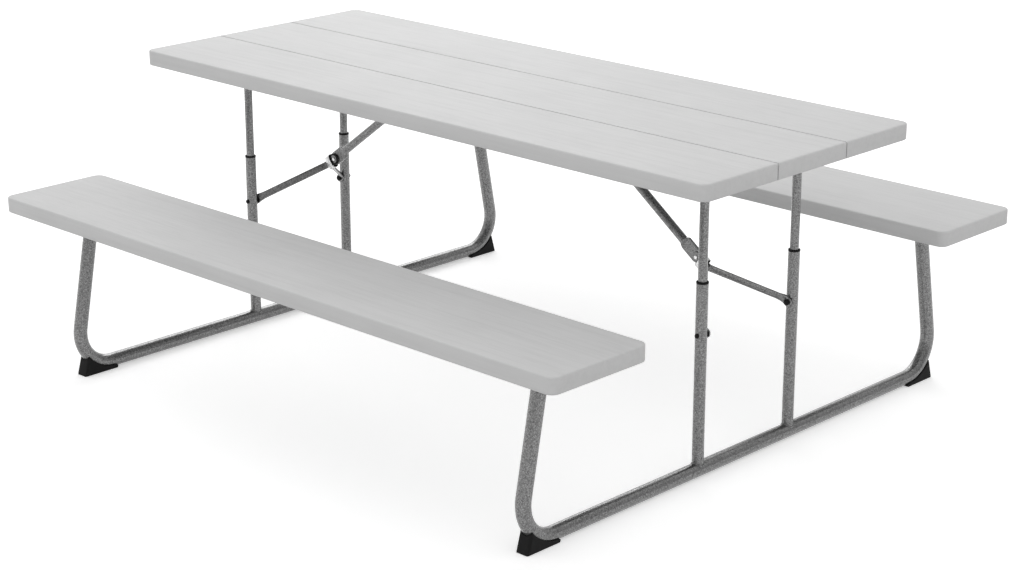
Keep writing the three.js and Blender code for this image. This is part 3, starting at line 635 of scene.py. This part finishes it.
def wishbone_arm(across, side):
    """One arm of the V: a tube pressed flat, with an eye at the bolt and a pad with an eye at the knee."""
    stations = [-ARM_EYE_R * math.cos(math.radians(t)) for t in (12, 24, 36, 48, 60, 75, 90)]
    stations += [u * MM for u in range(3, 27, 2)] + [u * MM for u in range(32, 128, 12)]
    stations += [ARM_LENGTH - u * MM for u in range(47, 25, -2)]
    stations += [ARM_LENGTH - u * MM for u in (23, 18, 14, 11, 9, 7, 4, 0)]
    stations += [ARM_LENGTH + KNEE_EYE_R * math.sin(math.radians(t)) for t in (15, 30, 45, 58, 70, 79)]
    shape = bmesh.new()
    sections = []
    for u in stations:
        lean = math.atan2(arm_line(u + ARM_STEP) - arm_line(u - ARM_STEP), 2 * ARM_STEP)
        tube_part = eased(u, *ARM_SWELL) - eased(u, ARM_LENGTH - PAD_PRESS, ARM_LENGTH - PAD_START)
        eye_wide = math.sqrt(max(0.0, ARM_EYE_R ** 2 - min(u, 0) ** 2))
        disc = math.sqrt(max(0.0, KNEE_EYE_R ** 2 - (u - ARM_LENGTH) ** 2))
        pad_wide = disc if u > ARM_LENGTH else max(PAD_HALF, disc)
        flat_wide = pad_wide if u > ARM_MIDWAY else eye_wide
        flat_thick = PAD_THICK if u > ARM_MIDWAY else ARM_EYE_THICK
        wide = flat_wide + (ARM_R - flat_wide) * tube_part
        thick = flat_thick + (ARM_THICK - flat_thick) * tube_part
        section = []
        for w, t in oval(wide, thick, 3 + 4 * (1 - tube_part)):
            along, out = u - t * math.sin(lean), arm_line(u) + t * math.cos(lean)
            section.append(arm_point(across, side, along, out, w))
        sections.append(section)
    loft(shape, sections)
    return meshed(shape, "wishbone_arm")


def oval_band(across, profile):
    """A band round the arms at the knee, from (way back, half thickness, half width) of its skin."""
    shape = bmesh.new()
    sections = []
    for back, thick, wide in profile:
        points = oval(wide * MM, thick * MM, BAND_SQUARENESS)
        sections.append([arm_point(across, 1, ARM_LENGTH - back * MM, y, w) for w, y in points])
    loft(shape, sections, True)
    return meshed(shape, "oval_band")


def moulded_foot(name):
    """The wedge foot with softly rounded mould edges."""
    shape = bmesh.new()
    shape.from_mesh(nodes[name].data)
    bmesh.ops.remove_doubles(shape, verts=shape.verts, dist=MERGE_DISTANCE)
    seed = bpy.data.objects.new("foot_seed", meshed(shape, "foot"))
    bpy.context.scene.collection.objects.link(seed)
    cells = seed.modifiers.new("cells", "REMESH")
    cells.mode = "VOXEL"
    cells.voxel_size = FOOT_CELL
    soft = seed.modifiers.new("soft", "SMOOTH")
    soft.factor = 0.5
    soft.iterations = FOOT_SOFTENING
    result = bpy.data.meshes.new_from_object(seed.evaluated_get(bpy.context.evaluated_depsgraph_get()))
    bpy.data.objects.remove(seed)
    return result


def placed_heads():
    """Sets one small turned or pressed form on each point, looking the way its point faces."""
    tree, given = new_tree("placed_heads", (("Head", "Object"), ("Finish", "Material")))
    named = node(tree, "GeometryNodeInputNamedAttribute", {"Name": "facing"}, data_type="FLOAT_VECTOR")
    facing = named.outputs[0]
    turn = node(tree, "FunctionNodeAlignRotationToVector", {"Vector": facing}, axis="Z").outputs[0]
    head = node(tree, "GeometryNodeObjectInfo", {"Object": given["Head"]}).outputs["Geometry"]
    set_out = node(tree, "GeometryNodeInstanceOnPoints", {
        "Points": given["Geometry"], "Instance": head, "Rotation": turn,
    })
    close_tree(tree, set_out.outputs[0], given["Finish"])
    return tree


def weld_bead():
    """A rippled weld along a closed line of points."""
    tree, given = new_tree("weld_bead", (
        ("Size", "Float"), ("Ripples", "Float"), ("Ripple", "Float"), ("Finish", "Material"),
    ))
    line = node(tree, "GeometryNodeMeshToCurve", {"Mesh": given["Geometry"]}).outputs[0]
    along = node(tree, "GeometryNodeSplineParameter").outputs["Factor"]
    phase = node(tree, "ShaderNodeMath", {0: along, 1: given["Ripples"]}, operation="MULTIPLY").outputs[0]
    wave = node(tree, "ShaderNodeMath", {0: phase}, operation="SINE").outputs[0]
    swell = node(tree, "ShaderNodeMath", {0: wave, 1: given["Ripple"], 2: 1.0}, operation="MULTIPLY_ADD")
    sized = node(tree, "ShaderNodeMath", {0: swell.outputs[0], 1: given["Size"]}, operation="MULTIPLY")
    ring = node(tree, "GeometryNodeCurvePrimitiveCircle", {"Radius": 1.0, "Resolution": 10}).outputs[0]
    run = node(tree, "GeometryNodeCurveToMesh", {
        "Curve": line, "Profile Curve": ring, "Scale": sized.outputs[0],
    })
    close_tree(tree, run.outputs[0], given["Finish"])
    return tree


heads = placed_heads()
bead = weld_bead()


def in_metres(profile):
    return [(radius * MM, height * MM) for radius, height in profile]


def head_form(profile, sides):
    """A turned head on its own, ready to be set on points."""
    shape = bmesh.new()
    spun(shape, in_metres(profile), Vector(), UP, sides)
    form = bpy.data.objects.new("head_form", meshed(shape, "head_form"))
    bpy.context.scene.collection.objects.link(form)
    return form


def set_heads(name, form, places, material, body, replaced=()):
    """Heads on (place, facing) pairs, as one piece of a body."""
    points = bpy.data.meshes.new(name)
    points.from_pydata([place for place, _ in places], [], [])
    facing = points.attributes.new("facing", "FLOAT_VECTOR", "POINT")
    facing.data.foreach_set("vector", [c for _, way in places for c in way])
    mesh = grown(points, heads, {"Head": form, "Finish": material}, name)
    dressed(name, mesh, material, body, replaced)


def set_beads(name, loops, size, body):
    """Welds along closed loops of points, as one piece of a body."""
    line = bpy.data.meshes.new(name)
    places, edges = [], []
    for loop in loops:
        first = len(places)
        places += loop
        edges += [(first + k, first + (k + 1) % len(loop)) for k in range(len(loop))]
    line.from_pydata(places, edges, [])
    mesh = grown(line, bead, {
        "Size": size, "Ripples": WELD_RIPPLES, "Ripple": WELD_RIPPLE, "Finish": ENAMEL,
    }, name)
    dressed(name, mesh, ENAMEL, body, (), WELD_CREASE)


UP = Vector((0, 0, 1))
DOWN = Vector((0, 0, -1))
WELD_STEPS = 48
WELD_RIPPLES = 160.0
WELD_RIPPLE = 0.14
WELD_CREASE = 80
FOOT_WELD = 2.2 * MM
HEAD_WELD = 1.6 * MM
BOLT_SEAT = 0.3 * MM
HEAD_SIDES = 24
RING_SIDES = 40
SCREW_SIDES = 12

# Turned profiles, as (radius, height) in millimetres
BOLT_HEAD = ((5.5, 0), (5.5, 1.4), (5.2, 2.3), (4.3, 3.4), (2.6, 4.2), (0.6, 4.4))
CAP_NUT = ((6.4, 0), (6.8, 0.4), (6.8, 2.6), (6.5, 4.0), (5.5, 5.3), (3.6, 6.2), (0.7, 6.5))
COLLAR = (
    (10.5, -25), (11.5, -25), (11.5, 0), (13.4, 0), (13.7, 0.4), (13.7, 3.2), (13.4, 3.8), (12.6, 4.2),
    (10.5, 4.2), (10.5, -25),
)
# Thin black disc on the outer face of each arm eye: painted shade that darkens the eyes seen from outside
EYE_SHADE_DISC = ((4, 0), (11.3, 0), (11.3, 0.5), (4, 0.5), (4, 0))
SCREW_HEAD = ((4.2, 0), (4.2, 0.4), (3.5, 1), (1.6, 1.3), (0.4, 1.3))
RIVET_HEAD = ((4.8, 0), (4.8, 0.7), (4.5, 1.5), (3.7, 2.2), (2.2, 2.7), (0.5, 2.8))
KNEE_RING = ((11, 0), (14.1, 0), (14.6, 0.4), (14.6, 0.9), (14.1, 1.3), (11.5, 1.3), (11, 0.9), (11, 0))

# Bands at the knee, as (way back from the knee, half thickness, half width) in millimetres
SLEEVE = (
    (27, 10.2, 17.65), (27.2, 10.5, 18), (26.6, 10.8, 18.2), (11, 10.8, 18.2), (10.4, 10.6, 18),
    (10.6, 10.2, 17.65),
)
SLEEVE_LINER = (
    (27, 9.4, 17.1), (27, 10.15, 17.6), (10.4, 10.15, 17.6), (10.2, 10.5, 17.95), (9.4, 10.4, 17.85),
    (9, 9.9, 17.4), (9.4, 9.4, 17.1),
)

bolt_form = head_form(BOLT_HEAD, HEAD_SIDES)
nut_form = head_form(CAP_NUT, HEAD_SIDES)
collar_form = head_form(COLLAR, RING_SIDES)
eye_shade_disc_form = head_form(EYE_SHADE_DISC, RING_SIDES)
screw_form = head_form(SCREW_HEAD, SCREW_SIDES)
rivet_form = head_form(RIVET_HEAD, HEAD_SIDES)
for end, across in ENDS:
    frame_body, arm_body = f"end_frame_{end}", f"wishbone_{end}"
    names = [f"{end}_{side}" for side, _ in SIDES]
    x = across * FRAME_X
    dressed(f"brace_tube_{end}", upper_brace(across), ENAMEL, f"strut_{end}",
            (f"upper_brace_{end}",))
    outer_seat = UPRIGHT_Y + LOWER_R + BOLT_SEAT
    set_heads(f"bolt_heads_{end}", bolt_form,
              [(Vector((x, s * outer_seat, BOLT_Z)), Vector((0, s, 0))) for _, s in SIDES],
              BLACK, frame_body, [f"arm_bolt_{n}" for n in names])
    set_heads(f"nut_caps_{end}", nut_form,
              [(Vector((x, s * NUT_Y, BOLT_Z)), Vector((0, -s, 0))) for _, s in SIDES],
              BLACK, frame_body, [f"cap_nut_{n}" for n in names])
    # Thin black discs on the outer faces of the arm eyes: painted shade that darkens the eyes seen from
    # outside
    set_heads(f"bolt_washers_{end}", eye_shade_disc_form,
              [(Vector((x, s * EYE_SHADE_DISC_Y, BOLT_Z)), Vector((0, s, 0))) for _, s in SIDES],
              BLACK, frame_body)
    set_heads(f"slide_rings_{end}", collar_form,
              [(Vector((x, s * UPRIGHT_Y, COLLAR_Z)), UP) for _, s in SIDES],
              BLACK, frame_body, [f"slide_collar_{n}" for n in names])
    set_heads(f"rivet_heads_{end}", rivet_form,
              [(arm_point(across, s, ARM_LENGTH, RIVET_Y, 0), Vector((0, s, 0))) for _, s in SIDES],
              RIVET, arm_body, [f"knee_rivet_{n}" for n in names])
    dressed(f"lock_sleeve_{end}", oval_band(across, SLEEVE), ZINC, arm_body,
            [f"knee_clip_{n}" for n in names])
    dressed(f"sleeve_liner_{end}", oval_band(across, SLEEVE_LINER), BLACK, arm_body)
    foot_loops, head_loops = [], []
    for side, s in SIDES:
        place = f"{end}_{side}"
        dressed(f"brace_arm_{place}", wishbone_arm(across, s), ENAMEL, arm_body,
                (f"wishbone_arm_{place}",))
        dressed(f"wedge_foot_{place}", moulded_foot(f"foot_{place}"), BLACK, frame_body,
                (f"foot_{place}",), FOOT_CREASE)
        foot_loop, head_loop = [], []
        for k in range(WELD_STEPS):
            turn = 2 * math.pi * k / WELD_STEPS
            c, t = math.cos(turn), math.sin(turn)
            foot_loop.append((x + LOWER_R * c, s * UPRIGHT_Y + LOWER_R * t,
                              BASE_Z + math.sqrt(BASE_R ** 2 - (LOWER_R * c) ** 2)))
            head_loop.append((x + BRACE_R * c, s * UPRIGHT_Y + BRACE_R * t, PIVOT_Z - BRACE_R * abs(t)))
        foot_loops.append(foot_loop)
        head_loops.append(head_loop)
    set_beads(f"foot_welds_{end}", foot_loops, FOOT_WELD, frame_body)
    set_beads(f"head_welds_{end}", head_loops, HEAD_WELD, f"leg_{end}")

# A black ring round one rivet of each knee
for end, across, s in (("left", -1, -1), ("right", 1, 1)):
    shape = bmesh.new()
    rivet_seat = arm_point(across, s, ARM_LENGTH, RIVET_Y, 0)
    spun(shape, in_metres(KNEE_RING), rivet_seat, Vector((0, s, 0)), RING_SIDES)
    dressed(f"knee_ring_{end}", meshed(shape, "knee_ring"), BLACK, f"wishbone_{end}")

# Screws of the fittings under the table and the benches
CLAMP_PLATE = 3.2 * MM
CLAMP_SCREW_INSET = 8 * MM
BRACKET_PLATE = 2.5 * MM
BRACKET_SCREW_INSET = 7 * MM
BRACKET_SCREW_REACH = 12 * MM
RAIL_PLATE = 2 * MM
RAIL_SCREW_SHARES = (0.15, 0.5, 0.85)
screws = []
for name in nodes:
    low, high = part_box(name)
    middle = (low + high) / 2
    if name.startswith("pivot_clamp"):
        reach = (high.x - low.x) / 2 - CLAMP_SCREW_INSET
        for side in (-1, 1):
            screws.append((Vector((middle.x + reach * side, middle.y, high.z - CLAMP_PLATE)), DOWN))
    if name.startswith("brace_bracket"):
        reach = (high.y - low.y) / 2 - BRACKET_SCREW_INSET
        for side in (-1, 1):
            for way in (-BRACKET_SCREW_REACH, BRACKET_SCREW_REACH):
                screws.append((Vector((middle.x + way, reach * side, high.z - BRACKET_PLATE)), DOWN))
set_heads("fitting_screws", screw_form, screws, ZINC, "table")
for side, _ in SIDES:
    screws = []
    for end, _ in ENDS:
        low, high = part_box(f"bench_rail_{end}_{side}")
        for share in RAIL_SCREW_SHARES:
            x = low.x + (high.x - low.x) * share
            screws.append((Vector((x, (low.y + high.y) / 2, high.z - RAIL_PLATE)), DOWN))
    set_heads(f"rail_screws_{side}", screw_form, screws, ZINC, f"seat_{side}")
for form in (bolt_form, nut_form, collar_form, eye_shade_disc_form, screw_form, rivet_form):
    bpy.data.objects.remove(form)

# Finishes of the solids
FINISH_OF = (
    (("table_top", "bench_near", "bench_far"), PLANK),
    (("foot", "slide_collar", "arm_bolt", "cap_nut"), BLACK),
    (("bench_rail", "pivot_clamp", "brace_bracket", "knee_clip"), ZINC),
    (("knee_rivet",), RIVET),
    (("base_tube", "pivot_tube", "lower_upright", "upper_upright", "bench_lug"), ENAMEL),
    (("upper_brace", "wishbone_arm"), ENAMEL),
)
for name, solid in nodes.items():
    for starts, material in FINISH_OF:
        if name.startswith(starts):
            solid.data.materials.clear()
            solid.data.materials.append(material)

# Floor, light and camera
FLOOR_HALF = 30.0
FLOOR_DROP = 0.5 * MM
LIGHT_TARGET = (0, 0, 0.6)


def pale_floor():
    """Floor that keeps soft shadows and is otherwise white to the eye."""
    material = bpy.data.materials.new("pale_floor")
    material.use_nodes = True
    tree = material.node_tree
    tree.nodes.clear()
    ray = node(tree, "ShaderNodeLightPath").outputs
    seen = node(tree, "ShaderNodeMath", {
        0: ray["Is Camera Ray"], 1: ray["Is Glossy Ray"],
    }, operation="MAXIMUM")
    place = node(tree, "ShaderNodeTexCoord").outputs["Object"]
    dust = noise(tree, place, 3, 2, 0.5)
    bounce = node(tree, "ShaderNodeBsdfDiffuse", {"Color": ramp(tree, dust, ((0.3, 0.65), (0.7, 0.67)))})
    shade = node(tree, "ShaderNodeBsdfDiffuse", {"Color": (0.97, 0.97, 0.97, 1)})
    glow = node(tree, "ShaderNodeEmission", {"Strength": 0.395})
    lifted = node(tree, "ShaderNodeAddShader", {0: shade.outputs[0], 1: glow.outputs[0]})
    both = node(tree, "ShaderNodeMixShader", {0: seen.outputs[0], 1: bounce.outputs[0], 2: lifted.outputs[0]})
    node(tree, "ShaderNodeOutputMaterial", {"Surface": both.outputs[0]})
    return material


ground = bpy.data.meshes.new("pale_floor")
corners = [(x * FLOOR_HALF, y * FLOOR_HALF, -FLOOR_DROP) for x, y in ((-1, -1), (1, -1), (1, 1), (-1, 1))]
ground.from_pydata(corners, [], [(0, 1, 2, 3)])
ground.materials.append(pale_floor())
floor = bpy.data.objects.new("pale_floor", ground)
bpy.context.scene.collection.objects.link(floor)

world = bpy.data.worlds.new("studio")
bpy.context.scene.world = world
world.use_nodes = True
sky = world.node_tree
sky.nodes.clear()
ray = node(sky, "ShaderNodeLightPath").outputs
direction = node(sky, "ShaderNodeTexCoord").outputs["Generated"]


def graded(slope, level):
    """Light that grows along a direction, about a middle level."""
    along = node(sky, "ShaderNodeVectorMath", {0: direction, 1: slope}, operation="DOT_PRODUCT")
    strength = node(sky, "ShaderNodeMath", {0: along.outputs["Value"], 1: level}, operation="ADD").outputs[0]
    return node(sky, "ShaderNodeBackground", {"Color": (1, 1, 1, 1), "Strength": strength}).outputs[0]


dome = graded((0.04, -0.16, 0.14), 0.68)
mirrored = graded((-0.25, 0.05, 0.3), 0.68)
white = node(sky, "ShaderNodeBackground", {"Color": (1, 1, 1, 1), "Strength": 1.0}).outputs[0]
lit = node(sky, "ShaderNodeMixShader", {0: ray["Is Glossy Ray"], 1: dome, 2: mirrored}).outputs[0]
whole = node(sky, "ShaderNodeMixShader", {0: ray["Is Camera Ray"], 1: lit, 2: white})
node(sky, "ShaderNodeOutputWorld", {"Surface": whole.outputs[0]})


def softbox(name, place, size, power):
    """A soft studio lamp turned to the table."""
    light = bpy.data.lights.new(name, "AREA")
    light.shape = "RECTANGLE"
    light.size, light.size_y = size
    light.energy = power
    made = bpy.data.objects.new(name, light)
    made.location = place
    made.rotation_euler = (Vector(LIGHT_TARGET) - Vector(place)).to_track_quat("-Z", "Y").to_euler()
    bpy.context.scene.collection.objects.link(made)


softbox("back_softbox", (-2.75, 3.35, 3.0), (3.0, 2.4), 28)
softbox("left_softbox", (-3.0, 2.0, 2.2), (2.6, 2.0), 19)

view_place = Vector((3.6569, -3.7791, 1.9688))
view_along = Vector((-0.6583, 0.6843, -0.3137))
lens = bpy.data.cameras.new("photo_camera")
lens.lens = 81.0
lens.sensor_width = 36.0
lens.sensor_fit = "HORIZONTAL"
lens.clip_end = 200.0
camera = bpy.data.objects.new("photo_camera", lens)
camera.location = view_place
camera.rotation_euler = view_along.to_track_quat("-Z", "Y").to_euler()
bpy.context.scene.collection.objects.link(camera)
bpy.context.scene.camera = camera
bpy.context.scene.view_settings.view_transform = "Standard"
